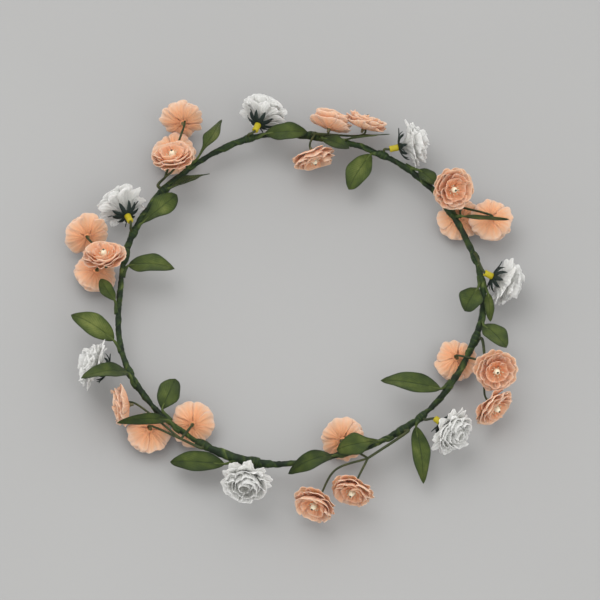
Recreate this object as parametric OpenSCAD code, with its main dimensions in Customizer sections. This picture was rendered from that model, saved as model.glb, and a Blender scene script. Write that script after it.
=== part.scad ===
// Flower crown: a ring of wire wound with floral tape, with seven forked sprigs of three peach
// fabric flowers, seven white flowers and twenty-three leaves bound to it.
// Millimetres, +Z up as the crown lies on a table, origin at the middle of the head opening.
//
// A place on the crown is written [turn, out, up]: degrees round the ring, millimetres outside
// the ring wire and millimetres above its plane. A facing is written [swing, tilt]: degrees
// away from straight outward and degrees above level. Both follow the ring when it is resized.

/* [Ring] */
// Mean radius of the ring wire
ring_r = 92; // [88:0.5:98]
// How oval the hand-bent ring is
ring_oval = 1.5; // [0:0.1:2]
// How three-cornered the hand-bent ring is
ring_corner = 1.5; // [0:0.1:2]
// How much the ring is kinked at the seven sprigs
ring_kink = 0.7; // [0:0.1:1]
// Diameter of the core wire
core_d = 1.4; // [1.2:0.1:1.5]
// Outer diameter of the floral tape
tape_d = 2.8; // [2.7:0.1:2.9]

/* [Stems] */
// Diameter of the covered stem wire
stem_d = 1.1; // [0.9:0.1:1.2]
// Running clearance all round a turning fit
turn_gap = 0.15; // [0.1:0.05:0.2]
// Clearance between the vine and the eye wound round it
eye_gap = 0.25; // [0.2:0.05:0.3]
// Wall of the eye at a stem's root
eye_wall = 0.7; // [0.6:0.1:0.8]
// Width of the eye along the vine
eye_w = 2.4; // [2:0.1:2.6]

/* [Flowers] */
// Diameter of a peach flower
peach_d = 22; // [20:0.5:22.5]
// Depth of a peach flower
peach_h = 7; // [6:0.5:7.5]
// Diameter of a white flower
white_d = 26; // [24:0.5:27]
// Depth of a white flower
white_h = 12; // [11:0.5:12.5]
// Diameter of the star of sepals
sepal_d = 17; // [15:0.5:18]
// Diameter of the sleeve behind a white flower
sleeve_d = 3.4; // [3:0.1:3.6]
// Length of the sleeve behind a white flower
sleeve_l = 4.6; // [4:0.1:4.8]

/* [Leaves] */
// Thickness of a leaf
leaf_t = 0.5; // [0.4:0.05:0.6]
// Depth of a leaf's crease as a share of its width
leaf_fold = 0.1; // [0:0.02:0.15]

/* [Hidden] */
$fn = 32;

// The ring is longest towards oval_turn, has a corner at corner_turn, and its kinks start at kink_lead.
oval_turn = 66;
corner_turn = -8;
kinks = 7;
kink_lead = 6;

// The ring wire's two ends lap side by side here, under the tape.
lap_turn = 254;
lap_half = 5;
lap_fade = 12;
bore_gap = 0.1;
lap_step = core_d/2 + bore_gap;
ring_steps = 84;
tape_sides = 8;
core_sides = 6;

// The stem runs straight behind a head and straight out of its eye for these lengths.
stem_lead = 3.5;
spur = 4;
stopper_d = 2.6;
stopper_neck_d = 1.3;
stopper_l = 1.7;
pistil_d = 2.5;
pistil_tip_d = 1.5;
pistil_l = 2.6;
hub_r = 1.7;
petal_t = 0.9;
bore_r = stem_d/2 + turn_gap;
pin_l = 4.1;
white_pin_l = 2.9;
pin_root = 0.1;
cut_over = 0.5;
bud_gap = 0.6;
bud_foot = white_pin_l + bud_gap;
white_spur = 1.6;
sleeve_back = 1.6;
knee_swell = 1.12;

// Cups of petals: [foot height, rim radius by the flower's diameter, rim height by its depth]
cup_root = 0.3;
peach_cups = [[0.2, 0.5, 0.42], [1.4, 0.44, 0.68], [2.6, 0.33, 0.87]];
white_cups = [[0.3, 0.5, 0.38], [1.6, 0.45, 0.66], [2.8, 0.34, 0.92]];
bud_l = 0.45;
bud_spread = 2.2;

star_points = 9;
star_notch = 0.2;
star_sides = 4;
sepal_drop = 1.4;
sepal_t = 0.8;
sepal_edge_t = 0.5;

leaf_steps = 10;
leaf_sides = 6;
leaf_end = 0.3;
leaf_broad = 0.85;
leaf_round = 0.8;

// Sprigs: [name, root turn, fork place, three heads of [place, facing, bend place if any]]
sprigs = [
  ["a", 138, [134.5, 4, 1.8], [
    [[120.3, 22.4, 2], [-24, -22]],
    [[130.4, 5.1, 7], [-25, 63]],
    [[126.4, 13.7, -3], [-36, -79]]]],
  ["b", 165, [167, 7, -0.5], [
    [[162.4, 20.9, 1.5], [-55, -33]],
    [[170.2, 8.6, 6.5], [-68, 63]],
    [[170.6, 13, -2.8], [28, -72]]]],
  ["c", 241, [234.5, 5, 3.7], [
    [[216.6, 9.2, 2], [-31, -3]],
    [[225, 8.6, -2.5], [-45, -84]],
    [[234, -6.3, -0.8], [-144, -62]]]],
  ["d", 305, [290.5, 8, 3.6], [
    [[285.6, -6.4, 0.7], [155, -52]],
    [[275.3, 21.8, 1.5], [-31, 10], [281, 9.5, 4.5]],
    [[285, 19.8, 4], [-34, 8]]]],
  ["e", 345, [337.5, 10, 3.6], [
    [[337.1, -4.6, -1.4], [113, -84]],
    [[335.6, 16.6, 8], [-51, 45]],
    [[328.5, 21.6, -0.6], [-20, 6], [332, 14.5, 1]]]],
  ["f", 33, [32, 6.5, -0.8], [
    [[37, 5.3, 7], [-98, 48]],
    [[29.9, 3.8, -2.8], [60, -84]],
    [[23.9, 15.3, 4], [21, -82]]]],
  ["g", 85, [84, -1.2, 5.2], [
    [[80.3, 4, 3.2], [-10, 12]],
    [[70.8, 9.9, 1], [-3, 30]],
    [[84.9, -9.5, 1], [-159, -12]]]]
];

// White flowers: [name, root turn, place, facing]
whites = [
  ["a", 105, [101, 6, 4], [-32, -8]],
  ["b", 156, [152.1, 6.8, 4], [-40, -15]],
  ["c", 207, [204, 11, 3], [-43, 10]],
  ["d", 257, [256.4, 9.5, 6], [7, 21]],
  ["e", 312.5, [314.5, 12.5, 4], [-1, 14]],
  ["f", 14, [5, 6.5, 4], [-20, -28]],
  ["g", 62, [58, 7.5, 3], [-46, 3]]
];

// Leaves: [base place, tip place, width, bow upward, roll about the midrib]
inner_leaves = [
  [[136.5, -2.2, 2], [122.5, -10, 3], 7, 2, 35],
  [[152, -2, 1], [137, -8, 4], 11, 2, 0],
  [[168, -2.5, 0], [166.5, -26, 3], 11, 2, 0],
  [[223.5, -2, 1], [218.5, -17, 4], 12, 1, 0],
  [[296.5, 1, 3], [282.5, 0, 7], 11, 3, 0],
  [[323.5, -2, 2], [310.5, -27, 4], 11, 2, 0],
  [[2.5, -2.5, 2], [353, -8.5, 5], 12, 2, 0],
  [[65.5, -2, 0], [67.5, -24, -2], 12, 2, 0],
  [[81.6, -2.2, 3.2], [72, -7, 8.5], 8, 2, 0],
  [[100, -0.5, 2.5], [86.8, -0.5, 5], 10, 2, 0],
  [[281, 1, 2.5], [267.5, 7, 3], 9, 6, 0]
];
outer_leaves = [
  [[122.5, 1.5, 1.5], [111, 13, 5], 9, 2, 20],
  [[181.5, 2, 1], [174.5, 10, 2], 7, 1, 0],
  [[195, 3, 0], [186, 23.5, 4], 12, 3, 0],
  [[208, 1, 2.8], [207.5, 26, 19], 9, 4, 0],
  [[228, 1, 3.5], [221, 23, 13], 8, 3, 30],
  [[249, 4.4, -0.8], [235, 15, -4], 11, 1, 0],
  [[309, 2.5, 0], [301.5, 28.5, -4], 9, 2, 0],
  [[349.5, 2, 2.6], [343, 17, 6.5], 11, 2, 0],
  [[1, 2.5, 0.9], [351.8, 4.8, 1], 6, 1.5, 0],
  [[27, 2.2, 6.5], [20, 21.5, 11], 6, 0, 80],
  [[49.3, 2, 2.4], [42, 3, 2.4], 8, 1, 0],
  [[75, 0, 2.5], [63, 11.5, 5], 7, 1, 60]
];

// --- places and directions ---

function ring_radius(turn) = ring_r
  + ring_oval*cos(2*(turn - oval_turn))
  + ring_corner*cos(3*(turn - corner_turn))
  + ring_kink*cos(kinks*turn + kink_lead);
function at(place) = [
  (ring_radius(place[0]) + place[1])*cos(place[0]),
  (ring_radius(place[0]) + place[1])*sin(place[0]),
  place[2]];
function unit(v) = v/norm(v);
function along(turn) = unit(at([turn + 1, 0, 0]) - at([turn - 1, 0, 0]));
function facing_turn(place, facing) = place[0] + facing[0];
function aim(place, facing) = [
  cos(facing_turn(place, facing))*cos(facing[1]),
  sin(facing_turn(place, facing))*cos(facing[1]),
  sin(facing[1])];

// Puts its children at a place with their +Z along the facing.
module stand(place, facing) {
  translate(at(place))
    rotate([0, 90 - facing[1], facing_turn(place, facing)])
      children();
}

// A round rod from p to q with a slightly fuller ball at q, so that rods join at any angle.
// The ball's poles lie on the rod's axis, so no seam of the ball crosses the rod at a slant.
module rod(p, q) {
  v = q - p;
  translate(p)
    rotate([0, acos(v[2]/norm(v)), atan2(v[1], v[0])]) {
      cylinder(h = norm(v), d = stem_d);
      translate([0, 0, norm(v)])
        sphere(d = stem_d*knee_swell);
    }
}

// --- the vine ---

// 1 inside the lap of the ring wire's ends, fading to 0 on both sides
function lap(from_lap) = abs(from_lap) < lap_half ? 1
  : max(0, 1 - (abs(from_lap) - lap_half)/(lap_fade - lap_half));
function wrapped(turn) = (turn + 540) % 360 - 180;
function lap_grow(turn) = lap_step*lap(wrapped(turn - lap_turn));
function eye_r(turn) = tape_d/2 + lap_grow(turn) + eye_gap;

// Points of one loop of a tube round the ring wire
function loop(turn, shift, r, sides) = [
  for (j = [0:sides - 1])
    at([turn, shift + r*cos(360*j/sides), r*sin(360*j/sides)])];

function flat_list(lists) = [for (l = lists) for (item = l) item];

// Closed tube: its last loop joins its first.
module closed_tube(loops, sides) {
  n = len(loops);
  polyhedron(
    points = flat_list(loops),
    faces = [for (i = [0:n - 1], j = [0:sides - 1])
      let (a = i*sides, b = ((i + 1) % n)*sides, k = (j + 1) % sides)
        [a + j, a + k, b + k, b + j]]);
}

// Open tube with flat ends
module open_tube(loops, sides) {
  n = len(loops);
  polyhedron(
    points = flat_list(loops),
    faces = concat(
      [for (i = [0:n - 2], j = [0:sides - 1])
        let (a = i*sides, b = (i + 1)*sides, k = (j + 1) % sides)
          [a + j, a + k, b + k, b + j]],
      [[for (j = [sides - 1:-1:0]) j]],
      [[for (j = [0:sides - 1]) (n - 1)*sides + j]]));
}

module ring_tube(r) {
  closed_tube(
    [for (i = [0:ring_steps - 1])
      let (turn = lap_turn + 360*i/ring_steps)
        loop(turn, 0, r + lap_grow(turn), tape_sides)],
    tape_sides);
}

module core_wire() {
  color([0.45, 0.45, 0.47])
    open_tube(
      [for (i = [0:ring_steps + 2])
        let (s = -lap_half + (360 + 2*lap_half)*i/(ring_steps + 2))
          loop(lap_turn + s, lap_step*(lap(s - 360) - lap(s)), core_d/2, core_sides)],
      core_sides);
}

module tape_wrap() {
  color([0.13, 0.27, 0.12])
    difference() {
      ring_tube(tape_d/2);
      ring_tube(core_d/2 + 2*bore_gap);
    }
}

// --- stems ---

// The eye that a stem makes round the vine
module eye(turn) {
  axis = along(turn);
  translate(at([turn, 0, 0]))
    rotate([0, 90, atan2(axis[1], axis[0])])
      difference() {
        cylinder(h = eye_w, r = eye_r(turn) + eye_wall, center = true);
        cylinder(h = eye_w + 2*cut_over, r = eye_r(turn), center = true);
      }
}

// Point at a distance from the vine's middle, straight out of an eye towards a point
function off_eye(turn, toward, distance) =
  let (centre = at([turn, 0, 0]), axis = along(turn), v = toward - centre)
    centre + distance*unit(v - axis*(v*axis));

// The straight end of a stem, which passes through a head, and the stopper behind the head
module pin(place, facing) {
  stand(place, facing) {
    translate([0, 0, -stem_lead])
      cylinder(h = stem_lead + pin_l, d = stem_d);
    translate([0, 0, -stopper_l - turn_gap])
      cylinder(h = stopper_l, d1 = stopper_neck_d, d2 = stopper_d);
  }
}

module sprig_wire(s) {
  color([0.2, 0.36, 0.14]) {
    eye(s[1]);
    rod(off_eye(s[1], at(s[2]), eye_r(s[1]) + eye_wall/2), off_eye(s[1], at(s[2]), spur));
    rod(off_eye(s[1], at(s[2]), spur), at(s[2]));
    for (head = s[3]) {
      lead = at(head[0]) - stem_lead*aim(head[0], head[1]);
      corners = [for (p = concat([s[2]], len(head) > 2 ? [head[2]] : [])) at(p)];
      for (i = [0:len(corners) - 1])
        rod(corners[i], i + 1 < len(corners) ? corners[i + 1] : lead);
      pin(head[0], head[1]);
    }
  }
}

module sprig_pistils(s) {
  color([0.95, 0.9, 0.75])
    for (head = s[3])
      stand(head[0], head[1])
        translate([0, 0, pin_l])
          cylinder(h = pistil_l, d1 = pistil_d, d2 = pistil_tip_d);
}

// --- flower heads ---

// Stacked cups on one bored hub
module cups(cup_list, d, h, hub_h) {
  rotate_extrude()
    union() {
      translate([bore_r, 0])
        square([hub_r - bore_r, hub_h]);
      for (c = cup_list)
        polygon([
          [hub_r - cup_root, c[0]],
          [c[1]*d, c[2]*h],
          [c[1]*d, c[2]*h + petal_t],
          [hub_r - cup_root, c[0] + petal_t]]);
    }
}

module peach_head(head) {
  color([0.95, 0.68, 0.53])
    stand(head[0], head[1])
      cups(peach_cups, peach_d, peach_h, pin_l - turn_gap);
}

module white_petals(w) {
  color([0.96, 0.96, 0.93])
    stand(w[2], w[3]) {
      cups(white_cups, white_d, white_h, bud_foot);
      translate([0, 0, bud_foot])
        cylinder(h = white_h*bud_l, r1 = hub_r, r2 = hub_r*bud_spread);
    }
}

// One loop round the section of the sepal star, at one of its points or notches
function star_loop(i) =
  let (
    turn = 180*i/star_points,
    r = sepal_d*(i % 2 == 0 ? 0.5 : star_notch),
    ray = [cos(turn), sin(turn), 0],
    z = -sepal_drop + 2*sepal_drop*(2*r/sepal_d))
    [
      ray*bore_r + [0, 0, -sepal_drop],
      ray*r + [0, 0, z],
      ray*r + [0, 0, z + sepal_edge_t],
      ray*bore_r + [0, 0, sepal_t - sepal_drop]
    ];

module white_sepals(w) {
  color([0.07, 0.1, 0.07])
    stand(w[2], w[3])
      closed_tube([for (i = [0:2*star_points - 1]) star_loop(i)], star_sides);
}

module white_stem(w) {
  foot = at(w[2]) - (sleeve_back + sleeve_l)*aim(w[2], w[3]);
  knee = off_eye(w[1], foot, eye_r(w[1]) + white_spur);
  color([0.2, 0.36, 0.14]) {
    eye(w[1]);
    rod(off_eye(w[1], foot, eye_r(w[1]) + eye_wall/2), knee);
    rod(knee, foot);
  }
  color([0.85, 0.68, 0.12])
    stand(w[2], w[3]) {
      translate([0, 0, -sleeve_back - sleeve_l])
        cylinder(h = sleeve_l, d = sleeve_d);
      translate([0, 0, -sleeve_back - pin_root])
        cylinder(h = pin_root + sleeve_back + white_pin_l, d = stem_d);
    }
}

// --- leaves ---

// Half the blade's width at a share t of its length, broadest nearer the base
function leaf_half_width(t, width) =
  leaf_end + (width/2 - leaf_end)*pow(sin(180*pow(t, leaf_broad)), leaf_round);

// One curved, creased blade from its base place to its tip place
module leaf(row) {
  base = at(row[0]);
  tip = at(row[1]);
  chord = tip - base;
  run = unit(chord);
  level = unit(cross(run, [0, 0, 1]));
  lift = cross(level, run);
  side = level*cos(row[4]) + lift*sin(row[4]);
  up = cross(side, run);
  loops = [
    for (i = [0:leaf_steps])
      let (
        t = i/leaf_steps,
        half = leaf_half_width(t, row[2]),
        spine = base + chord*t + up*row[3]*4*t*(1 - t),
        dip = up*2*half*leaf_fold,
        half_t = up*leaf_t/2)
        [
          spine + side*half + half_t,
          spine - dip + half_t,
          spine - side*half + half_t,
          spine - side*half - half_t,
          spine - dip - half_t,
          spine + side*half - half_t
        ]];
  open_tube(loops, leaf_sides);
}

module leaves(rows) {
  color([0.32, 0.45, 0.16])
    for (row = rows)
      leaf(row);
}

// --- nodes ---

core_wire();
tape_wrap();
leaves(inner_leaves);  // leaves_inner
leaves(outer_leaves);  // leaves_outer
for (s = sprigs) {
  sprig_wire(s);
  sprig_pistils(s);
  for (i = [1:3])
    peach_head(s[3][i - 1]);
}
for (w = whites) {
  white_stem(w);
  white_sepals(w);
  white_petals(w);
}
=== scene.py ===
"""Flower crown: tape-wound vine, forked sprigs of peach flowers, white flowers and satin leaves.

A place is (turn, out, up): degrees round the ring, millimetres outside the ring wire and
millimetres above its plane. A facing is (swing, tilt): degrees away from straight outward and
degrees above level. Meshes are built in millimetres and scaled to metres at the end.
"""

import math
import random

import bpy
from mathutils import Matrix, Vector, noise


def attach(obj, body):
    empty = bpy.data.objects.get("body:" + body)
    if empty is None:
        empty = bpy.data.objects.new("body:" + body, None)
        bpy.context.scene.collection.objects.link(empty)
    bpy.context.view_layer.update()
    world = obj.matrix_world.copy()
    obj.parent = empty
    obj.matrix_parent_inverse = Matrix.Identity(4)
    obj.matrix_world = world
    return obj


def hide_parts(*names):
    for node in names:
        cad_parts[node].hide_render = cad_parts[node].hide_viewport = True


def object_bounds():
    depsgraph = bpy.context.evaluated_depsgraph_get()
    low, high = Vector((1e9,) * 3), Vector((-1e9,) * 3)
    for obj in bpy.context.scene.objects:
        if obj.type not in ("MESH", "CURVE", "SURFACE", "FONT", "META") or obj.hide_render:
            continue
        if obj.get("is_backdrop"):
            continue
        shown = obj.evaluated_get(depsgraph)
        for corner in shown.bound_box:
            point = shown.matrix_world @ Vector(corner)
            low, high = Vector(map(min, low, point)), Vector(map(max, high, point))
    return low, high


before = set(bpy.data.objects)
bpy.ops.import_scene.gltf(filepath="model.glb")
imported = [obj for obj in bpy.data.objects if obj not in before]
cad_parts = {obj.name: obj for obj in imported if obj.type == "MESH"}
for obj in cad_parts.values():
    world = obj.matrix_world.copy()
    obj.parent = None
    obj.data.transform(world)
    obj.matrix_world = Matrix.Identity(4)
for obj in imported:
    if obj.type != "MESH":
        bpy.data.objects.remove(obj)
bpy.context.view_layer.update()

MM = 0.001
FLOOR_GAP = 0.0002
UP = Vector((0.0, 0.0, 1.0))
TAU = 2.0 * math.pi

# Ring: its radius, and the size and phase of its oval, its three corners and its small kinks
RING_R = 92.0
RING_OVAL, RING_OVAL_PHASE = 1.5, -132
RING_CORNER, RING_CORNER_PHASE = 1.5, 24
RING_KINK, RING_KINK_PHASE = 0.7, 6

# Lap of the ring wire's ends, in degrees: its middle, half its length, and how far from its middle
# the tape is slim again. The step is how much thicker it is there.
LAP_TURN = 254.0
LAP_HALF = 5.0
LAP_FADE = 12.0
LAP_STEP = 0.8

# Tape: its radius on the vine and how often it goes round. The strand bound under it: how often it
# goes round and how far it swells the tape.
TAPE_R = 1.4
TAPE_WRAPS = 58
STRAND_TURNS = 11
STRAND_SWELL = 0.85

# Stems: their radius, their straight run behind a head, and how far they first stand off the vine
STEM_R = 0.52
STEM_LEAD = 3.5
SPUR = 4.0
WHITE_SPUR = 1.6
EYE_GAP = 0.25

# Heads: a peach head's pin and pistil, and a white head's sleeve, all from the head's place
PIN_L = 4.1
PISTIL_FOOT = 3.2
PISTIL_L = 4.3
PISTIL_R = 1.55
SLEEVE_BACK = 1.6
SLEEVE_L = 4.6
SLEEVE_R = 1.65

# Cloth: the thickness of each kind
PEACH_THICK = 0.14
WHITE_THICK = 0.12
SEPAL_THICK = 0.22
LEAF_THICK = 0.3

# Petals: how frayed and frilled the rim is, how far the cloth wanders and the seed it wanders by,
# and how much of a half wave an arched petal runs through
RIM_FRAY = 0.05
RIM_FRILLS = 3.5
CLOTH_WANDER = 0.4
CLOTH_SEED = 11
ARCH_SHARE = 0.6

# Leaf stalks lie along the vine for so many degrees, and stay so far from the root of a stem.
STALK_MOST = 4.6
STALK_LEAST = 0.8
ROOT_ROOM = 1.8

# Sprigs: name, root turn, fork place, heads of (place, facing, bend place if any)
SPRIGS = (
    ("a", 138, (134.5, 4, 1.8), (
        ((120.3, 22.4, 2), (-24, -22), None),
        ((130.4, 5.1, 7), (-25, 63), None),
        ((126.4, 13.7, -3), (-36, -79), None))),
    ("b", 165, (167, 7, -0.5), (
        ((162.4, 20.9, 1.5), (-55, -33), None),
        ((170.2, 8.6, 6.5), (-68, 63), None),
        ((170.6, 13, -2.8), (28, -72), None))),
    ("c", 241, (234.5, 5, 3.7), (
        ((216.6, 9.2, 2), (-31, -3), None),
        ((225, 8.6, -2.5), (-45, -84), None),
        ((234, -6.3, -0.8), (-144, -62), None))),
    ("d", 305, (290.5, 8, 3.6), (
        ((285.6, -6.4, 0.7), (155, -52), None),
        ((275.3, 21.8, 1.5), (-31, 10), (281, 9.5, 4.5)),
        ((285, 19.8, 4), (-34, 8), None))),
    ("e", 345, (337.5, 10, 3.6), (
        ((337.1, -4.6, -1.4), (113, -84), None),
        ((335.6, 16.6, 8), (-51, 45), None),
        ((328.5, 21.6, -0.6), (-20, 6), (332, 14.5, 1)))),
    ("f", 33, (32, 6.5, -0.8), (
        ((37, 5.3, 7), (-98, 48), None),
        ((29.9, 3.8, -2.8), (60, -84), None),
        ((23.9, 15.3, 4), (21, -82), None))),
    ("g", 85, (84, -1.2, 5.2), (
        ((80.3, 4, 3.2), (-10, 12), None),
        ((70.8, 9.9, 1), (-3, 30), None),
        ((84.9, -9.5, 1), (-159, -12), None))),
)

# White flowers: name, root turn, place, facing
WHITES = (
    ("a", 105, (101, 6, 4), (-32, -8)),
    ("b", 156, (152.1, 6.8, 4), (-40, -15)),
    ("c", 207, (204, 11, 3), (-43, 10)),
    ("d", 257, (256.4, 9.5, 6), (7, 21)),
    ("e", 312.5, (314.5, 12.5, 4), (-1, 14)),
    ("f", 14, (5, 6.5, 4), (-20, -28)),
    ("g", 62, (58, 7.5, 3), (-46, 3)),
)

# Leaves: base place, tip place, width, bow, roll, and how blunt and how twisted they are
INNER_LEAVES = (
    ((136.5, -2.2, 2), (122.5, -10, 3), 7, 2, 35, 0.0, 20),
    ((152, -2, 1), (137, -8, 4), 11, 2, 0, 0.75, -25),
    ((168, -2.5, 0), (166.5, -26, 3), 11, 2, 0, 0.0, 10),
    ((223.5, -2, 1), (218.5, -17, 4), 12, 1, 0, 0.5, 15),
    ((296.5, 1, 3), (282.5, 0, 7), 11, 3, 0, 0.9, 45),
    ((323.5, -2, 2), (310.5, -27, 4), 11, 2, 0, 0.1, -12),
    ((2.5, -2.5, 2), (353, -8.5, 5), 12, 2, 0, 0.6, 20),
    ((65.5, -2, 0), (67.5, -24, -2), 12, 2, 0, 0.35, 15),
    ((81.6, -2.2, 3.2), (72, -7, 8.5), 7, 2, 0, 0.2, 0),
    ((100, -0.5, 2.5), (86.8, -0.5, 5), 10, 2, 0, 0.15, -20),
    ((281, 1, 2.5), (267.5, 7, 3), 9, 6, 0, 0.2, 55),
)
OUTER_LEAVES = (
    ((122.5, 1.5, 1.5), (111, 13, 5), 9, 2, 20, 0.95, 35),
    ((181.5, 2, 1), (174.5, 10, 2), 7, 1, 0, 0.2, 10),
    ((195, 3, 0), (186, 23.5, 4), 12, 3, 0, 0.0, 15),
    ((208, 1, 2.8), (207.5, 26, 19), 9, 4, 0, 0.3, -20),
    ((228, 1, 3.5), (221, 23, 13), 5.8, 3, 30, 0.0, 5),
    ((249, 4.4, -0.8), (235, 15, -4), 11, 1, 0, 0.15, 10),
    ((309, 2.5, 0), (301.5, 28.5, -4), 9, 2, 0, 0.0, -12),
    ((349.5, 2, 2.6), (343, 17, 6.5), 11, 2, 0, 0.4, 20),
    ((1, 2.5, 0.9), (351.8, 4.8, 1), 5, 1.5, 0, 0.2, 0),
    ((27, 2.2, 6.5), (20, 21.5, 11), 6, 0, 80, 0.0, 10),
    ((49.3, 2, 2.4), (42, 3, 2.4), 8, 1, 0, 0.3, 10),
    ((75, 0, 2.5), (63, 11.2, 3.6), 5.2, 1, 60, 0.1, 0),
)

# The noise that the cloth wanders by has a fixed seed, so each run is the same.
noise.seed_set(CLOTH_SEED)


# --- places and directions ---


def cosd(degrees):
    return math.cos(math.radians(degrees))


def sind(degrees):
    return math.sin(math.radians(degrees))


def half_circle(degrees):
    """The same direction as an angle from -180 to 180"""
    return (degrees + 540) % 360 - 180


def ray(angle):
    """Level unit vector at an angle in radians"""
    return Vector((math.cos(angle), math.sin(angle), 0))


def ring_radius(turn):
    return (
        RING_R
        + RING_OVAL * cosd(2 * turn + RING_OVAL_PHASE)
        + RING_CORNER * cosd(3 * turn + RING_CORNER_PHASE)
        + RING_KINK * cosd(7 * turn + RING_KINK_PHASE)
    )


def at(place):
    """The point of a place"""
    turn, out, up = place
    r = ring_radius(turn) + out
    return Vector((r * cosd(turn), r * sind(turn), up))


def along(turn):
    """The vine's direction there"""
    return (at((turn + 1, 0, 0)) - at((turn - 1, 0, 0))).normalized()


def aim(place, facing):
    """The direction of a facing at a place"""
    turn = place[0] + facing[0]
    flat = cosd(facing[1])
    return Vector((cosd(turn) * flat, sind(turn) * flat, sind(facing[1])))


def stand(place, facing):
    """Matrix that puts a thing made on the origin, looking up +Z, at a place with that facing."""
    turn = math.radians(place[0] + facing[0])
    tip = math.radians(90 - facing[1])
    return (
        Matrix.Translation(at(place))
        @ Matrix.Rotation(turn, 4, "Z")
        @ Matrix.Rotation(tip, 4, "Y")
    )


def lap_grow(turn):
    """How much thicker the vine is where its wire's two ends lie side by side"""
    off = abs(half_circle(turn - LAP_TURN))
    return LAP_STEP * min(1.0, max(0.0, (LAP_FADE - off) / (LAP_FADE - LAP_HALF)))


def off_eye(turn, toward, distance):
    """Point at a distance from the vine's middle, straight out of it towards a point."""
    centre = at((turn, 0, 0))
    axis = along(turn)
    v = toward - centre
    return centre + (v - axis * v.dot(axis)).normalized() * distance


def smooth_step(x):
    """From 0 to 1 without a corner, as x goes from 0 to 1"""
    x = min(1.0, max(0.0, x))
    return x * x * (3 - 2 * x)


# --- mesh building ---


class Sheaf:
    """Vertices, faces, texture coordinates and one shade value for each vertex of one piece."""

    def __init__(self):
        self.points = []
        self.faces = []
        self.uvs = []
        self.shades = []

    def add_grid(self, rows, uv_rows, shade_rows, close_across=False):
        """A grid of points; rows run along the piece and the points of a row across it."""
        start = len(self.points)
        n = len(rows[0])
        for row, uv_row, shade_row in zip(rows, uv_rows, shade_rows):
            self.points.extend(row)
            self.uvs.extend(uv_row)
            self.shades.extend(shade_row)
        wrap = n if close_across else n - 1
        for i in range(len(rows) - 1):
            for j in range(wrap):
                k = (j + 1) % n
                a = start + i * n
                b = a + n
                self.faces.append((a + j, a + k, b + k, b + j))
        return start

    def cap(self, start, n, flip):
        """One face over the n points of a row."""
        loop = list(range(start, start + n))
        self.faces.append(tuple(reversed(loop)) if flip else tuple(loop))

    def piece(self, name, material, body, slot, replaced=(), thick=None):
        """Make the piece, riding on a body, in place of the CAD nodes that it replaces."""
        mesh = bpy.data.meshes.new(name)
        mesh.from_pydata([p * MM for p in self.points], [], self.faces)
        mesh.update()
        layer = mesh.uv_layers.new(name="UVMap")
        for loop in mesh.loops:
            layer.data[loop.index].uv = self.uvs[loop.vertex_index]
        shade = mesh.attributes.new("shade", "FLOAT", "POINT")
        shade.data.foreach_set("value", self.shades)
        mesh.polygons.foreach_set("use_smooth", [True] * len(mesh.polygons))
        mesh.materials.append(material)
        obj = bpy.data.objects.new(name, mesh)
        bpy.context.scene.collection.objects.link(obj)
        if thick:
            solid = obj.modifiers.new("thickness", "SOLIDIFY")
            solid.thickness = thick * MM
            solid.offset = 0.0
            solid.use_even_offset = False
        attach(obj, body)
        if replaced:
            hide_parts(*replaced)


def curve_through(points, steps):
    """Points of a smooth Catmull-Rom curve through the given points."""
    ends = [points[0] * 2 - points[1]] + list(points) + [points[-1] * 2 - points[-2]]
    curve = []
    for i in range(1, len(ends) - 2):
        p0, p1, p2, p3 = ends[i - 1 : i + 3]
        for k in range(steps):
            t = k / steps
            curve.append(
                0.5
                * (
                    2 * p1
                    + (p2 - p0) * t
                    + (2 * p0 - 5 * p1 + 4 * p2 - p3) * t * t
                    + (3 * p1 - p0 - 3 * p2 + p3) * t * t * t
                )
            )
    curve.append(ends[-2])
    return curve


def tapered(start, end):
    """A radius or shade of a tube that goes evenly from its start to its end"""
    return lambda share, angle: start + (end - start) * share


def add_tube(sheaf, path, radius, sides=12, shade=tapered(0.5, 0.5)):
    """A round tube with closed ends. radius and shade are functions of (share of length, angle)."""
    side = (path[1] - path[0]).normalized().orthogonal()
    rows = []
    uvs = []
    shades = []
    length = 0.0
    last = len(path) - 1
    for i, p in enumerate(path):
        ahead = path[min(last, i + 1)]
        behind = path[max(0, i - 1)]
        run = (ahead - behind).normalized()
        side = (side - run * side.dot(run)).normalized()
        lift = run.cross(side)
        share = i / last
        length += (p - behind).length
        row = []
        for j in range(sides):
            angle = TAU * j / sides
            row.append(p + (side * math.cos(angle) + lift * math.sin(angle)) * radius(share, angle))
        rows.append(row)
        uvs.append([(j / sides, length) for j in range(sides)])
        shades.append([shade(share, TAU * j / sides) for j in range(sides)])
    start = sheaf.add_grid(rows, uvs, shades, close_across=True)
    sheaf.cap(start, sides, True)
    sheaf.cap(start + last * sides, sides, False)


def add_turned(sheaf, matrix, profile, sides=20, shade=0.5, wobble=0.0):
    """A turned shape: profile is a list of (radius, height) from its foot to its top."""
    rows = []
    for r, z in profile:
        row = []
        for j in range(sides):
            angle = TAU * j / sides
            bump = 1.0 + wobble * math.sin(3 * angle + 2 * z)
            row.append(matrix @ (ray(angle) * (r * bump) + UP * z))
        rows.append(row)
    uvs = [[(j / sides, z) for j in range(sides)] for r, z in profile]
    shades = [[shade] * sides for row in rows]
    start = sheaf.add_grid(rows, uvs, shades, close_across=True)
    sheaf.cap(start, sides, True)
    sheaf.cap(start + (len(rows) - 1) * sides, sides, False)


# --- materials ---


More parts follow.
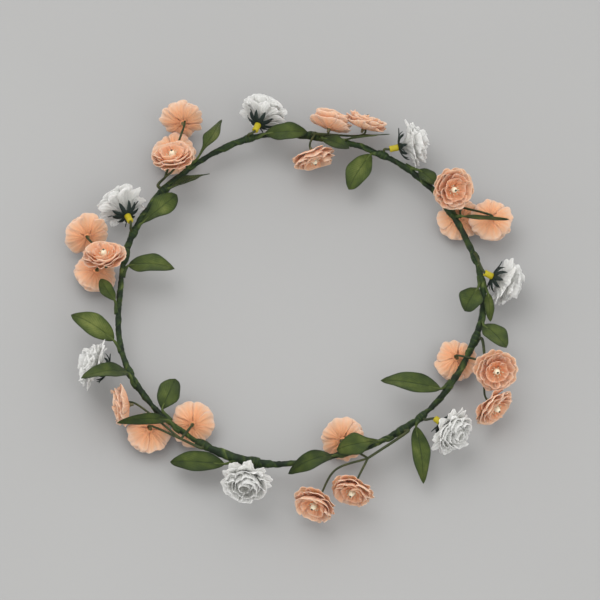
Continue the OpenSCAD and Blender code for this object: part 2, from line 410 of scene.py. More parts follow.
class Look:
    """A node material with one Principled shader and small helpers to wire it."""

    def __init__(self, name):
        self.material = bpy.data.materials.new(name)
        self.material.use_nodes = True
        self.nodes = self.material.node_tree.nodes
        self.links = self.material.node_tree.links
        self.shader = self.nodes["Principled BSDF"]

    def new(self, kind, **values):
        node = self.nodes.new(kind)
        for key, value in values.items():
            setattr(node, key, value)
        return node

    def link(self, a, b):
        self.links.new(a, b)

    def across_and_along(self):
        """The two UV values of a piece."""
        split = self.new("ShaderNodeSeparateXYZ")
        self.link(self.new("ShaderNodeTexCoord").outputs["UV"], split.inputs["Vector"])
        return split.outputs["X"], split.outputs["Y"]

    def shade(self):
        return self.new("ShaderNodeAttribute", attribute_name="shade").outputs["Fac"]

    def noise(self, scale, detail=4.0):
        """Noise from 0 to 1; scale is about how many waves there are in a metre."""
        node = self.new("ShaderNodeTexNoise")
        node.inputs["Scale"].default_value = scale
        node.inputs["Detail"].default_value = detail
        node.inputs["Roughness"].default_value = 0.55
        place = self.new("ShaderNodeTexCoord").outputs["Object"]
        self.link(place, node.inputs["Vector"])
        return node.outputs["Fac"]

    def math(self, operation, a, b):
        node = self.new("ShaderNodeMath", operation=operation)
        for socket, value in zip(node.inputs, (a, b)):
            if isinstance(value, (int, float)):
                socket.default_value = value
            else:
                self.link(value, socket)
        return node.outputs[0]

    def plus(self, a, b):
        return self.math("ADD", a, b)

    def minus(self, a, b):
        return self.math("SUBTRACT", a, b)

    def times(self, a, b):
        return self.math("MULTIPLY", a, b)

    def sine(self, value):
        return self.math("SINE", value, 0.0)

    def ramp(self, factor, stops):
        node = self.new("ShaderNodeValToRGB")
        elements = node.color_ramp.elements
        while len(elements) < len(stops):
            elements.new(0.5)
        for element, (position, color) in zip(elements, stops):
            element.position = position
            element.color = (*color, 1.0)
        self.link(factor, node.inputs["Fac"])
        return node.outputs["Color"]

    def mottle(self, color, amount, scale):
        """The colour, darkened in soft patches."""
        node = self.new("ShaderNodeMix", data_type="RGBA", blend_type="MULTIPLY")
        low = 1.0 - amount
        patches = self.ramp(self.noise(scale), ((0.3, (low, low, low)), (0.7, (1, 1, 1))))
        node.inputs["Factor"].default_value = 1.0
        self.link(color, node.inputs["A"])
        self.link(patches, node.inputs["B"])
        return node.outputs["Result"]

    def bump(self, height, distance, under=None):
        node = self.new("ShaderNodeBump")
        node.inputs["Strength"].default_value = 1.0
        node.inputs["Distance"].default_value = distance
        self.link(height, node.inputs["Height"])
        if under:
            self.link(under, node.inputs["Normal"])
        return node.outputs["Normal"]

    def finish(self, color, rough, normal, **sockets):
        """The material; rough is its lowest and highest roughness."""
        self.link(color, self.shader.inputs["Base Color"])
        low, high = rough
        spread = self.new("ShaderNodeMapRange")
        spread.inputs["To Min"].default_value = low
        spread.inputs["To Max"].default_value = high
        self.link(self.noise(900.0), spread.inputs["Value"])
        self.link(spread.outputs["Result"], self.shader.inputs["Roughness"])
        self.link(normal, self.shader.inputs["Normal"])
        for name, value in sockets.items():
            self.shader.inputs[name.replace("_", " ")].default_value = value
        return self.material


def petal_look(name, stops, glow, bleed):
    """Thin soft cloth: UV u runs across a petal and v along it; shade is 0 deep to 1 at its rim."""
    look = Look(name)
    across, length = look.across_and_along()
    drift = look.times(look.noise(200.0, 3.0), 7.0)
    crease = look.sine(look.plus(look.times(across, 27.0), drift))
    # Painted shade: the tone follows the creases that the bump draws, darker in their furrows
    tone = look.plus(look.shade(), look.times(crease, 0.05))
    tone = look.plus(tone, look.times(look.noise(300.0, 5.0), 0.36))
    tone = look.minus(tone, 0.18)
    color = look.mottle(look.ramp(tone, stops), 0.05, 150.0)
    weave = look.times(look.sine(look.times(across, 240.0)), look.sine(look.times(length, 300.0)))
    normal = look.bump(crease, 0.00009, look.bump(weave, 0.00001))
    return look.finish(
        color, (0.78, 0.92), normal,
        Sheen_Weight=0.2, Sheen_Roughness=0.6, Subsurface_Weight=glow, Subsurface_Scale=0.003,
        Subsurface_Radius=bleed, Specular_IOR_Level=0.15)


def tape_look():
    """Waxed crepe tape: UV v is millimetres along, and the crepe's fine ridges run across it."""
    look = Look("floral_tape")
    length = look.across_and_along()[1]
    tone = look.plus(look.shade(), look.times(look.minus(look.noise(380.0, 6.0), 0.5), 0.9))
    color = look.ramp(tone, (
        (0.0, (0.006, 0.014, 0.005)),
        (0.3, (0.013, 0.030, 0.009)),
        (0.62, (0.036, 0.062, 0.012)),
        (1.0, (0.11, 0.145, 0.035))))
    color = look.mottle(color, 0.3, 90.0)
    drift = look.times(look.noise(500.0, 3.0), 6.0)
    crepe = look.sine(look.plus(look.times(length, 14.0), drift))
    normal = look.bump(crepe, 0.00007, look.bump(look.noise(1500.0, 5.0), 0.00018))
    return look.finish(color, (0.35, 0.6), normal, Specular_IOR_Level=0.25)


def stem_look():
    """Paper-covered wire: dark green with olive patches."""
    look = Look("stem_wire")
    color = look.ramp(look.noise(230.0, 5.0), (
        (0.3, (0.014, 0.022, 0.005)),
        (0.55, (0.032, 0.042, 0.009)),
        (0.75, (0.07, 0.066, 0.016))))
    return look.finish(
        look.mottle(color, 0.25, 700.0), (0.4, 0.65), look.bump(look.noise(1600.0), 0.00012),
        Specular_IOR_Level=0.3)


def leaf_look():
    """Satin leaf: UV u is -1 to 1 across and v is 0 to 1 along; shade is 0 dark to 1 light."""
    look = Look("leaf_satin")
    across, length = look.across_and_along()
    off = look.math("ABSOLUTE", across, 0.0)
    slant = look.minus(look.times(length, 34.0), look.times(off, 15.0))
    ridges = look.math("MAXIMUM", look.sine(look.times(slant, 2.2)), 0.0)
    veins = look.math("POWER", ridges, 3.0)
    drift = look.times(look.noise(300.0, 3.0), 5.0)
    fibre = look.sine(look.plus(look.times(across, 95.0), drift))
    midrib = look.minus(1.0, look.math("MINIMUM", look.times(off, 13.0), 1.0))
    broken = look.times(midrib, look.noise(240.0, 2.0))
    tone = look.plus(look.shade(), look.times(veins, 0.13))
    tone = look.plus(tone, look.times(look.minus(look.noise(130.0, 5.0), 0.5), 1.3))
    # Painted shade: darker in broken streaks along the midrib, in the groove that the bump draws
    tone = look.minus(tone, look.times(broken, 0.5))
    # Painted sheen: lighter on the crests of the satin's fine fibres, which the bump also draws
    tone = look.plus(tone, look.times(fibre, 0.035))
    color = look.ramp(tone, (
        (0.0, (0.008, 0.017, 0.003)),
        (0.35, (0.022, 0.040, 0.005)),
        (0.65, (0.050, 0.074, 0.009)),
        (1.0, (0.13, 0.155, 0.035))))
    height = look.plus(look.times(veins, -0.35), look.times(midrib, -1.0))
    normal = look.bump(height, 0.00022, look.bump(fibre, 0.00004))
    return look.finish(
        color, (0.4, 0.58), normal, Sheen_Weight=0.05, Sheen_Roughness=0.4,
        Specular_IOR_Level=0.25)


def plain_look(name, stops, rough, grain, depth, **sockets):
    """A small moulded or stiffened part: a colour that drifts, with a fine grain."""
    look = Look(name)
    tone = look.plus(look.times(look.shade(), 0.5), look.times(look.noise(grain * 0.3, 5.0), 0.5))
    color = look.mottle(look.ramp(tone, stops), 0.15, grain * 0.5)
    normal = look.bump(look.noise(grain, 5.0), depth)
    return look.finish(color, rough, normal, **sockets)


# Deep stops: the cloth's own deeper orange, painted brighter to offset the shade between petals
peach_cloth = petal_look("peach_fabric", (
    (0.0, (0.88, 0.27, 0.11)),
    (0.3, (0.84, 0.32, 0.155)),
    (0.62, (0.75, 0.355, 0.205)),
    (1.0, (0.68, 0.42, 0.305))), 0.4, (1.0, 0.5, 0.35))
# Deep stops: its own cream tint, painted brighter than the rim to offset the shade in the bloom
white_cloth = petal_look("white_fabric", (
    (0.0, (0.90, 0.88, 0.74)),
    (0.3, (0.82, 0.81, 0.735)),
    (0.6, (0.72, 0.72, 0.68)),
    (1.0, (0.66, 0.66, 0.64))), 0.7, (1.0, 1.0, 1.0))
tape = tape_look()
covered_wire = stem_look()
satin = leaf_look()
pistil_paint = plain_look("pistil", (
    (0.0, (0.05, 0.045, 0.02)),
    (0.3, (0.42, 0.38, 0.2)),
    (0.6, (0.80, 0.72, 0.52)),
    (1.0, (0.92, 0.87, 0.72))), (0.45, 0.65), 1400.0, 0.0001)
stopper_mould = plain_look("stopper", (
    (0.2, (0.05, 0.05, 0.014)),
    (0.8, (0.15, 0.12, 0.035))), (0.35, 0.5), 1200.0, 0.00006)
yellow_sleeve = plain_look("sleeve", (
    (0.1, (0.20, 0.15, 0.006)),
    (0.5, (0.38, 0.31, 0.010)),
    (0.9, (0.50, 0.43, 0.03))), (0.35, 0.55), 900.0, 0.00008, Specular_IOR_Level=0.25)
sepal_cloth = plain_look("sepal", (
    (0.1, (0.003, 0.006, 0.005)),
    (0.55, (0.008, 0.017, 0.013)),
    (1.0, (0.03, 0.055, 0.035))), (0.5, 0.75), 1000.0, 0.00012, Specular_IOR_Level=0.25)


# --- the vine ---


def build_vine():
    """The tape: a closed tube with the edge of each wrap and a bound strand winding round it"""
    stations = 1700
    sides = 24
    rows = []
    uvs = []
    shades = []
    for i in range(stations):
        share = i / stations
        turn = 360.0 * share
        length = share * TAU * RING_R
        centre = at((turn, 0, 0))
        out = along(turn).cross(UP)
        # Slow changes along the vine: its thickness, the strand's side and fullness, the wraps' pitch
        thick = 0.45 * noise.noise(centre * 0.055) + 0.4 * noise.noise(centre * 0.19)
        strand = TAU * STRAND_TURNS * share + 2.2 * noise.noise(centre * 0.035)
        fullness = 0.62 + 0.38 * noise.noise(centre * 0.05 + UP * 9)
        pitch = 0.9 * noise.noise(centre * 0.045 + UP * 5)
        row = []
        row_shade = []
        for j in range(sides):
            angle = TAU * j / sides
            spoke = out * math.cos(angle) + UP * math.sin(angle)
            wrap = (TAPE_WRAPS * share + j / sides + pitch) % 1.0
            ridge = 0.26 * wrap ** 3
            bound = fullness * max(0.0, math.cos(angle - strand)) ** 2.5
            crinkle = 0.2 * noise.noise((centre + spoke) * 0.8)
            r = TAPE_R - 0.1 + lap_grow(turn) + thick + ridge + STRAND_SWELL * bound + crinkle
            row.append(centre + spoke * r)
            patch = 0.5 * noise.noise((centre + spoke) * 0.25)
            # Painted highlight: lighter on each wrap's raised edge and on the bulge over the strand
            row_shade.append(0.18 + 0.55 * wrap ** 5 + 0.42 * bound + patch)
        rows.append(row)
        uvs.append([(j / sides, length) for j in range(sides)])
        shades.append(row_shade)
    rows.append(rows[0])
    uvs.append([(j / sides, TAU * RING_R) for j in range(sides)])
    shades.append(shades[0])
    sheaf = Sheaf()
    sheaf.add_grid(rows, uvs, shades, close_across=True)
    sheaf.piece("vine_tape", tape, "vine", "floral_tape", ("tape_wrap", "core_wire"))


def build_knob(name, turn, body, half=4.2, swell=0.95):
    """The taped lump where a stem leaves the vine, half its length to either side of the root"""
    steps = 22
    wraps = 3.3
    path = []
    for i in range(steps + 1):
        offset = half * (2 * i / steps - 1)
        path.append(at((turn + math.degrees(offset / RING_R), 0, 0)))

    def wrap(share, angle):
        return (wraps * share + angle / TAU) % 1.0

    def radius(share, angle):
        bell = swell * math.sin(math.pi * share) ** 0.8
        uneven = 0.8 + 0.2 * math.sin(angle + turn)
        ridge = 0.16 * wrap(share, angle) ** 2
        return TAPE_R + 0.1 + lap_grow(turn) + bell * uneven + ridge

    def shade(share, angle):
        # Painted highlight: lighter on each wrap's raised edge
        return 0.3 + 0.45 * wrap(share, angle) ** 4

    sheaf = Sheaf()
    add_tube(sheaf, path, radius, 20, shade)
    sheaf.piece(name, tape, body, "floral_tape")


# --- sprigs ---


def build_stems(body, root, fork_place, heads):
    """The forked wire of a sprig, and the stopper that each of its heads is pushed up against"""
    tuck = 0.6
    stopper = (
        (0.56, -2.1), (0.64, -1.8), (0.72, -1.1), (0.9, -0.55),
        (1.02, -0.25), (0.85, -0.1), (0.4, -0.05))
    fork = at(fork_place)
    trunk = [off_eye(root, fork, 1.0), off_eye(root, fork, SPUR), fork]
    stems = Sheaf()
    add_tube(stems, curve_through(trunk, 10), tapered(STEM_R * 1.75, STEM_R * 1.25))
    stoppers = Sheaf()
    for place, facing, bend in heads:
        look_along = aim(place, facing)
        corners = [fork - (fork - trunk[1]).normalized() * tuck]
        if bend:
            corners.append(at(bend))
        corners.append(at(place) - look_along * STEM_LEAD)
        corners.append(at(place) + look_along * (PIN_L - tuck))
        add_tube(stems, curve_through(corners, 12), tapered(STEM_R * 1.15, STEM_R * 0.92))
        add_turned(stoppers, stand(place, facing), stopper, 20, 0.5, 0.03)
    stems.piece(f"{body}_stems", covered_wire, body, "stem_wire", (f"{body}_wire",))
    stoppers.piece(f"{body}_stoppers", stopper_mould, body, "stopper")


def beaded(share, angle):
    """The radius of a thread that ends in a small bead"""
    return 0.13 + 0.16 * smooth_step((share - 0.75) * 4)


def build_pistils(name, body, heads):
    """A dark-tipped bead in the middle of each head, with fine threads round it"""
    steps = 12
    threads = 9
    top = PISTIL_FOOT + PISTIL_L
    tip = ((0.6, top - 0.2), (0.5, top + 0.1), (0.15, top + 0.3))
    bead = []
    for i in range(steps + 1):
        t = i / steps
        fullness = math.sin(math.pi * (0.12 + 0.85 * t)) ** 0.6
        bead.append((PISTIL_R * fullness, PISTIL_FOOT + PISTIL_L * t))
    pistils = Sheaf()
    for k, (place, facing, _) in enumerate(heads):
        matrix = stand(place, facing)
        add_turned(pistils, matrix, bead, 16, 0.9, 0.05)
        add_turned(pistils, matrix, tip, 12, -0.6)
        rng = random.Random(f"thread{name}{k}")
        for i in range(threads):
            out = ray(TAU * i / threads + rng.uniform(-0.2, 0.2))
            reach = rng.uniform(2.0, 3.0)
            thread = [
                out * 0.9 + UP * 3.4,
                out * reach * 0.75 + UP * 4.6,
                out * reach + UP * rng.uniform(5.6, 6.6),
            ]
            add_tube(pistils, [matrix @ p for p in curve_through(thread, 4)], beaded, 6)
    pistils.piece(f"{body}_centres", pistil_paint, body, "pistil", (f"{body}_pistils",))


def build_sprig(sprig):
    name, root, fork_place, heads = sprig
    body = f"sprig_{name}"
    build_stems(body, root, fork_place, heads)
    build_knob(f"{body}_knob", root, body)
    build_pistils(name, body, heads)
    for k, (place, facing, _) in enumerate(heads):
        flower = peach_flower(stand(place, facing), random.Random(f"peach{name}{k}"))
        flower.piece(
            f"{body}_blossom_{k + 1}", peach_cloth, body, "peach_fabric",
            (f"{body}_flower_{k + 1}",), PEACH_THICK)


# --- flowers ---


def add_petal(sheaf, matrix, petal):
    """One petal. It bends up through its sweep, or as far as it is arched it rises and droops."""
    along_n = petal["along"]
    across_n = petal["across"]
    sweep = petal["sweep"]
    arch = petal["arch"]
    rows = []
    uvs = []
    shades = []
    for i in range(along_n + 1):
        t = i / along_n
        outward = math.sin(sweep * t) / math.sin(min(sweep, math.pi / 2))
        climb = (1 - math.cos(sweep * t)) / (1 - math.cos(sweep))
        hump = math.sin(math.pi * ARCH_SHARE * t) / math.sin(math.pi * ARCH_SHARE)
        climb += arch * (hump - climb)
        half = petal["half"] * petal["spread"](t)
        row = []
        shade_row = []
        for j in range(across_n + 1):
            s = 2 * j / across_n - 1
            fray = 1 + RIM_FRAY * t * noise.noise(Vector((2.6 * s, petal["phase"], petal["half"])))
            reach = petal["reach"] * petal["outline"](s) * fray
            r = petal["foot"] + (reach - petal["foot"]) * outward
            angle = petal["angle"] + s * half
            swing = math.sin(petal["waves"] * s * math.pi + petal["phase"])
            frill = math.sin(RIM_FRILLS * s * math.pi + 2 * petal["phase"])
            z = (
                petal["base"]
                + petal["rise"] * climb
                + petal["ruffle"] * swing * t ** 1.6
                + petal["frill"] * frill * smooth_step((t - 0.55) / 0.45)
                + petal["twist"] * s * t
                + petal["cup"] * s * s * t
                - petal["curl"] * smooth_step((t - 0.65) / 0.35)
            )
            p = ray(angle) * r + UP * z
            p += noise.noise_vector(p * 0.22 + petal["seed"]) * CLOTH_WANDER * t
            row.append(matrix @ p)
            # Painted shade: lighter on the ruffle's crests and darker in its troughs
            shade_row.append(petal["shade"] * (0.06 + 0.9 * t ** petal["deep"]) + 0.05 * swing * t)
        rows.append(row)
        uvs.append([(j / across_n + petal["phase"], t) for j in range(across_n + 1)])
        shades.append(shade_row)
    sheaf.add_grid(rows, uvs, shades)


def notched_outline(notch):
    """Reach across a broad petal: full at its two lobes, less at its notch and its sides"""
    def outline(s):
        return 1.0 - 0.2 * abs(s) ** 3.2 - notch * math.exp(-(s / 0.24) ** 2)
    return outline


def pointed_outline(s):
    return 1.0 - 0.14 * abs(s) ** 1.3


def fan_spread(t):
    """A petal that opens from a narrow foot and stays as broad as its share of the circle"""
    return 0.55 + 0.45 * smooth_step(t * 1.6)


def lance_spread(t):
    """A petal that is broadest at its middle and narrows to a soft rounded end"""
    return 0.6 + 0.4 * smooth_step(t / 0.5) - 0.5 * smooth_step((t - 0.5) / 0.5) ** 2


def ruffled(rng, layer, petals, k, start, outline, spread):
    """What petal k of a layer is like, each a little different from its neighbours

    foot and reach are its near and far radius, base and rise its heights; the rest is how it waves,
    twists, cups and curls, and shade and deep are its tone and how fast the tone turns to the deep
    colour inward; that deep colour is painted brighter to offset the shade between petals.
    """
    reach, base, rise, sweep, arch, ruffle, shade, deep = layer
    return {
        "along": 12,
        "across": 14,
        "angle": start + TAU * k / petals + rng.uniform(-0.1, 0.1),
        "half": TAU / petals * rng.uniform(0.6, 0.74),
        "foot": 1.1,
        "reach": reach * rng.uniform(0.9, 1.04),
        "outline": outline,
        "spread": spread,
        "sweep": math.radians(sweep),
        "arch": arch,
        "deep": deep,
        "base": base,
        "rise": rise * rng.uniform(0.82, 1.15),
        "ruffle": ruffle * rng.uniform(0.5, 1.15),
        "frill": rng.uniform(0.05, 0.16),
        "waves": rng.choice((0.8, 1.0, 1.4)),
        "phase": rng.uniform(0, TAU),
        "twist": rng.uniform(0.3, 0.8),
        "cup": rng.uniform(-0.3, 0.8),
        "curl": rng.uniform(-0.2, 0.9),
        "seed": Vector((rng.uniform(0, 90), rng.uniform(0, 90), 0)),
        "shade": shade,
    }


def peach_flower(matrix, rng):
    """Four stacked layers of broad ruffled petals round a small open middle"""
    layers = (
        # petals and (reach, base, rise, sweep, arch, ruffle, shade, deep)
        (7, (11.6, 0.3, 3.2, 52, 0.0, 0.65, 1.0, 1.3)),
        (6, (10.8, 1.0, 5.0, 62, 0.0, 0.7, 0.98, 1.2)),
        (5, (9.0, 1.8, 5.6, 74, 0.0, 0.5, 0.94, 1.1)),
        (4, (6.2, 2.4, 4.6, 88, 0.0, 0.35, 0.84, 1.0)),
    )
    sheaf = Sheaf()
    hub = ((1.0, 0.05), (1.7, 0.15), (1.75, 1.2), (1.5, 2.8), (0.95, 3.4))
    add_turned(sheaf, matrix, hub, 16, 0.1)
    for petals, layer in layers:
        start = rng.uniform(0, TAU)
        for k in range(petals):
            outline = notched_outline(rng.uniform(0.03, 0.12))
            add_petal(sheaf, matrix, ruffled(rng, layer, petals, k, start, outline, fan_spread))
    return sheaf


def white_flower(matrix, rng):
    """A skirt of long soft petals, then rounded ones that close over a bud"""
    layers = (
        # petals, whether pointed, and (reach, base, rise, sweep, arch, ruffle, shade, deep)
        (9, True, (13.4, 0.8, 4.1, 50, 1.0, 0.4, 1.0, 0.7)),
        (8, True, (12.3, 1.3, 6.4, 68, 0.7, 0.5, 1.0, 0.7)),
        (8, False, (10.8, 1.7, 8.0, 84, 0.4, 0.45, 0.98, 0.7)),
        (7, False, (8.8, 2.3, 9.2, 98, 0.1, 0.35, 0.97, 0.8)),
        (6, False, (6.5, 2.7, 9.6, 112, 0.0, 0.3, 0.95, 0.8)),
        (4, False, (4.2, 2.9, 9.2, 124, 0.0, 0.2, 0.9, 0.8)),
    )
    sheaf = Sheaf()
    bud = (
        (1.0, 0.1), (1.7, 0.2), (2.0, 1.5), (2.3, 3.4),
        (2.5, 5.4), (2.0, 7.4), (1.1, 8.6), (0.3, 9.0))
    add_turned(sheaf, matrix, bud, 16, 0.5, 0.06)
    for petals, pointed, layer in layers:
        start = rng.uniform(0, TAU)
        for k in range(petals):
            outline = pointed_outline if pointed else notched_outline(rng.uniform(0.0, 0.06))
            spread = lance_spread if pointed else fan_spread
            add_petal(sheaf, matrix, ruffled(rng, layer, petals, k, start, outline, spread))
    return sheaf


def add_sepal(sheaf, matrix, angle, rng):
    """One stiff pointed sepal, folded along its middle"""
    steps = 8
    across = (-1.0, -0.5, 0.0, 0.5, 1.0)
    foot = 0.75
    opening = 75
    reach = rng.uniform(6.6, 7.8)
    bend = rng.uniform(3.0, 4.0)
    out = ray(angle)
    side = ray(angle + math.pi / 2)
    rows = []
    for i in range(steps + 1):
        t = i / steps
        half = 1.9 * (1 - t) ** 0.8 * (0.5 + 0.95 * t) + 0.04
        r = foot + (reach - foot) * sind(opening * t) / sind(opening)
        lift = -1.5 + bend * t ** 2 + rng.uniform(-0.05, 0.05)
        rows.append([
            matrix @ (out * r + side * (half * s) + UP * (lift + 0.3 * abs(s))) for s in across])
    uvs = [[((s + 1) / 2, i / steps) for s in across] for i in range(steps + 1)]
    # Painted shade and highlight: darker along the folded middle, lighter at the raised edges
    shades = [[0.35 + 0.35 * abs(s) for s in across] for row in rows]
    sheaf.add_grid(rows, uvs, shades)


def sepal_star(matrix, rng):
    """Sepals round a cup on the sleeve's end, with a few loose threads between them"""
    sepals = 9
    threads = 3
    cup = ((0.75, -1.5), (1.5, -1.45), (1.9, -1.1), (1.9, -0.6), (1.0, -0.3))
    sheaf = Sheaf()
    for k in range(sepals):
        add_sepal(sheaf, matrix, TAU * k / sepals + rng.uniform(-0.1, 0.1), rng)
    add_turned(sheaf, matrix, cup, 18, 0.4)
    for k in range(threads):
        angle = TAU * k / threads + rng.uniform(-0.4, 0.4)
        out = ray(angle)
        side = ray(angle + math.pi / 2) * rng.uniform(-1.5, 1.5)
        thread = [
            out * 1.2 - UP,
            out * 4.0 - UP * rng.uniform(0.6, 1.2),
            out * 7.0 + side * 0.5,
            out * rng.uniform(8.6, 9.8) + side + UP * 0.4,
        ]
        path = [matrix @ p for p in curve_through(thread, 6)]
        add_tube(sheaf, path, tapered(0.34, 0.12), 8, tapered(0.3, 0.3))
    return sheaf


def build_sleeve(name, body, matrix):
    """The moulded sleeve that holds a white head's star on its stem"""
    top = -SLEEVE_BACK
    low = top - SLEEVE_L
    profile = (
        (0.6, low + 0.1), (1.35, low), (1.6, low + 0.15), (SLEEVE_R, low + 0.5),
        (1.58, low + 1.6), (1.62, low + 3.0), (SLEEVE_R + 0.05, top - 0.4), (1.6, top - 0.05),
        (0.8, top))
    sleeve = Sheaf()
    add_turned(sleeve, matrix, profile, 24, 0.6, 0.015)
    sleeve.piece(name, yellow_sleeve, body, "sleeve")


def build_white(row):
    """A white flower: its stem, taped root, sleeve, star and bloom"""
    name, root, place, facing = row
    body = f"white_{name}_stem_body"
    head_body = f"white_{name}_head_body"
    look_along = aim(place, facing)
    matrix = stand(place, facing)
    foot = at(place) - look_along * (SLEEVE_BACK + SLEEVE_L)
    reach = TAPE_R + lap_grow(root) + EYE_GAP + WHITE_SPUR
    corners = [
        off_eye(root, foot, 0.8),
        off_eye(root, foot, reach),
        foot,
        foot + look_along * (SLEEVE_L + SLEEVE_BACK),
    ]
    stem = Sheaf()
    add_tube(stem, curve_through(corners, 10), tapered(STEM_R * 1.5, STEM_R))
    stem.piece(f"white_{name}_wire", covered_wire, body, "stem_wire", (f"white_{name}_stem",))
    build_knob(f"white_{name}_knob", root, body, 3.0, 0.75)
    build_sleeve(f"white_{name}_sleeve", body, matrix)
    star = sepal_star(matrix, random.Random(f"star{name}"))
    star.piece(
        f"white_{name}_star", sepal_cloth, head_body, "sepal", (f"white_{name}_sepals",),
        SEPAL_THICK)
    bloom = white_flower(matrix, random.Random(f"white{name}"))
    bloom.piece(
        f"white_{name}_bloom", white_cloth, head_body, "white_fabric", (f"white_{name}_petals",),
        WHITE_THICK)


# --- leaves ---


def leaf_half_width(t, width, blunt):
    """Half the blade's width at a share t of its length, broadest nearer the tip if it is blunt"""
    stalk_half = 0.3
    tip_share = 0.06
    belly = math.sin(math.pi * t ** (0.85 + 0.55 * blunt)) ** (0.85 - 0.25 * blunt)
    if t > 0.5:
        shoulder = (1 - ((t - 0.5) / 0.5) ** 2) ** 0.5
        belly += (shoulder - belly) * 0.75 * blunt * smooth_step((t - 0.5) / 0.25)
    neck = 1 - 1.5 * max(0.0, blunt - 0.5) * (1 - smooth_step((t - 0.2) / 0.35))
    half = stalk_half + (width / 2 - stalk_half) * belly * neck
    into_tip = max(0.0, (t - 1 + tip_share) / tip_share)
    return half * (1 - 0.9 * into_tip ** 2)


def leaf_axes(chord):
    """A leaf's own directions: along its blade, level across it, and out of its face"""
    run = chord.normalized()
    level = run.cross(UP).normalized()
    return run, level, level.cross(run)


def add_blade(blades, row, rng):
    """One satin blade: bowed, rolled and twisted, folded along its midrib, with a wavy edge"""
    base_place, tip_place, width, bow, roll, blunt, twist = row
    base = at(base_place)
    chord = at(tip_place) - base
    run, level, lift = leaf_axes(chord)
    steps = 30
    across = 16
    wave_phase = rng.uniform(0, TAU)
    wave_size = rng.uniform(0.35, 0.75)
    bend = rng.uniform(-0.9, 0.9)
    droop = rng.uniform(0.3, 1.0)
    light = rng.uniform(0.3, 0.6)
    rows = []
    uvs = []
    shades = []
    for i in range(steps + 1):
        t = i / steps
        middle = math.sin(math.pi * t)
        half = leaf_half_width(t, width, blunt)
        turn = roll + twist * smooth_step((t - 0.25) / 0.75)
        side = level * cosd(turn) + lift * sind(turn)
        up = side.cross(run)
        rise = bow * 4 * t * (1 - t) - droop * smooth_step((t - 0.7) / 0.3)
        spine = base + chord * t + lift * rise + level * (bend * middle)
        row = []
        shade_row = []
        for j in range(across + 1):
            s = 2 * j / across - 1
            fold = half * (0.3 * abs(s) ** 1.1 - 0.1)
            cup = -0.42 * s * s * half / 5.5
            flutter = wave_size * s * s * math.sin(6.0 * t + wave_phase + (1.7 if s > 0 else 0))
            crimp = 0.12 * abs(s) ** 3 * math.sin(19.0 * t + wave_phase * (2 if s > 0 else 1))
            edge = half * s * (1 + 0.05 * math.sin(11 * t + wave_phase + 2 * s))
            row.append(spine + side * edge + up * (fold + cup + (flutter + crimp) * middle))
            # Painted satin highlight along the middle of the blade; it is darker towards its rim
            rim = smooth_step((abs(s) - 0.72) / 0.28)
            shade_row.append(light + 0.16 * middle * (1 - s * s) - 0.16 * rim)
        rows.append(row)
        uvs.append([(2 * j / across - 1, t) for j in range(across + 1)])
        shades.append(shade_row)
    blades.add_grid(rows, uvs, shades)


def free_run(turn, back):
    """Degrees that a leaf's stalk may run along the vine before it meets the root of a stem"""
    gaps = [(row[1] - turn) * back for row in SPRIGS + WHITES]
    room = [gap - ROOT_ROOM for gap in gaps if gap > 0]
    return max(STALK_LEAST, min([STALK_MOST] + room))


def add_stalk(stalks, row):
    """A leaf's stalk: out of the vine's tape, away from the blade's own side, and under its foot"""
    base_place, tip_place, _, bow = row[:4]
    turn, out, up = base_place
    base = at(base_place)
    chord = at(tip_place) - base
    run, _, lift = leaf_axes(chord)
    back = 1 if half_circle(tip_place[0] - turn) < 0 else -1
    outward = out / max(1.0, abs(out))
    reach = free_run(turn, back)
    path = [
        at((turn + back * reach, 0.8 * outward, 0.3)),
        at((turn + back * reach * 0.6, 1.2 * outward, 0.5)),
        at((turn + back * reach * 0.25, out * 0.7, up * 0.75)),
        base + run * 0.5 + lift * 0.1,
        base + chord * 0.2 + lift * (bow * 0.64 - 0.25),
    ]
    add_tube(stalks, curve_through(path, 8), tapered(1.3, 0.3), 12, tapered(0.55, 0.95))


def build_leaves(name, rows, node):
    blades = Sheaf()
    stalks = Sheaf()
    for k, row in enumerate(rows):
        add_blade(blades, row, random.Random(f"{name}{k}"))
        add_stalk(stalks, row)
    blades.piece(name, satin, "vine", "leaf_satin", (node,), LEAF_THICK)
    stalks.piece(f"{name}_stalks", tape, "vine", "floral_tape")


build_vine()
for sprig_row in SPRIGS:
    build_sprig(sprig_row)
for white_row in WHITES:
    build_white(white_row)
build_leaves("inner_leaves", INNER_LEAVES, "leaves_inner")
build_leaves("outer_leaves", OUTER_LEAVES, "leaves_outer")


# --- camera, floor and light ---


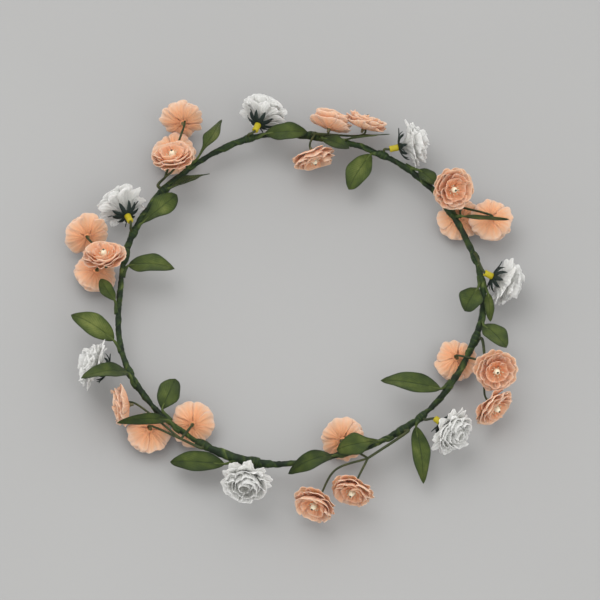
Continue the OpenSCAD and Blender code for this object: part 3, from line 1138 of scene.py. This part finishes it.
def make_camera():
    """A long lens that looks down on the ring"""
    elevation = 62.0
    distance = 2.6
    view_width = 0.3
    sensor = 36.0
    aside = 0.0015
    data = bpy.data.cameras.new("camera")
    data.sensor_width = sensor
    data.lens = sensor * distance / view_width
    data.clip_end = 20.0
    camera = bpy.data.objects.new("camera", data)
    back = Vector((0.0, -cosd(elevation), sind(elevation)))
    camera.rotation_euler = (math.radians(90 - elevation), 0.0, 0.0)
    screen_up = Vector((0.0, sind(elevation), cosd(elevation)))
    camera.location = back * distance + Vector((aside, 0.0, 0.0)) - screen_up * aside
    bpy.context.scene.collection.objects.link(camera)
    bpy.context.scene.camera = camera


def make_floor(height):
    """A wide pale floor, a little uneven in tone"""
    reach = 3.0
    mesh = bpy.data.meshes.new("floor")
    signs = ((-1, -1), (1, -1), (1, 1), (-1, 1))
    corners = [(x * reach, y * reach, height) for x, y in signs]
    mesh.from_pydata(corners, [], [(0, 1, 2, 3)])
    floor = bpy.data.objects.new("floor", mesh)
    look = Look("pale_floor")
    color = look.ramp(look.noise(3.0, 3.0), (
        (0.3, (0.295, 0.295, 0.293)),
        (0.7, (0.31, 0.31, 0.308))))
    mesh.materials.append(look.finish(color, (0.7, 0.8), look.bump(look.noise(600.0), 0.00002)))
    bpy.context.scene.collection.objects.link(floor)
    floor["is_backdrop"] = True


def add_area(name, place, size, power):
    """A round soft light aimed at the middle of the ring"""
    data = bpy.data.lights.new(name, "AREA")
    data.shape = "DISK"
    data.size = size
    data.energy = power
    light = bpy.data.objects.new(name, data)
    light.location = place
    light.rotation_euler = (-Vector(place)).to_track_quat("-Z", "Y").to_euler()
    bpy.context.scene.collection.objects.link(light)


def make_light():
    world = bpy.data.worlds.new("studio")
    bpy.context.scene.world = world
    world.use_nodes = True
    background = world.node_tree.nodes["Background"]
    background.inputs["Color"].default_value = (1.0, 0.995, 0.985, 1.0)
    background.inputs["Strength"].default_value = 1.25
    add_area("key", (-0.55, 0.5, 1.7), 1.5, 11.0)
    add_area("fill", (0.9, -0.9, 1.4), 1.6, 5.0)
    bpy.context.scene.view_settings.view_transform = "Standard"


make_camera()
make_floor(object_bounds()[0][2] - FLOOR_GAP)
make_light()
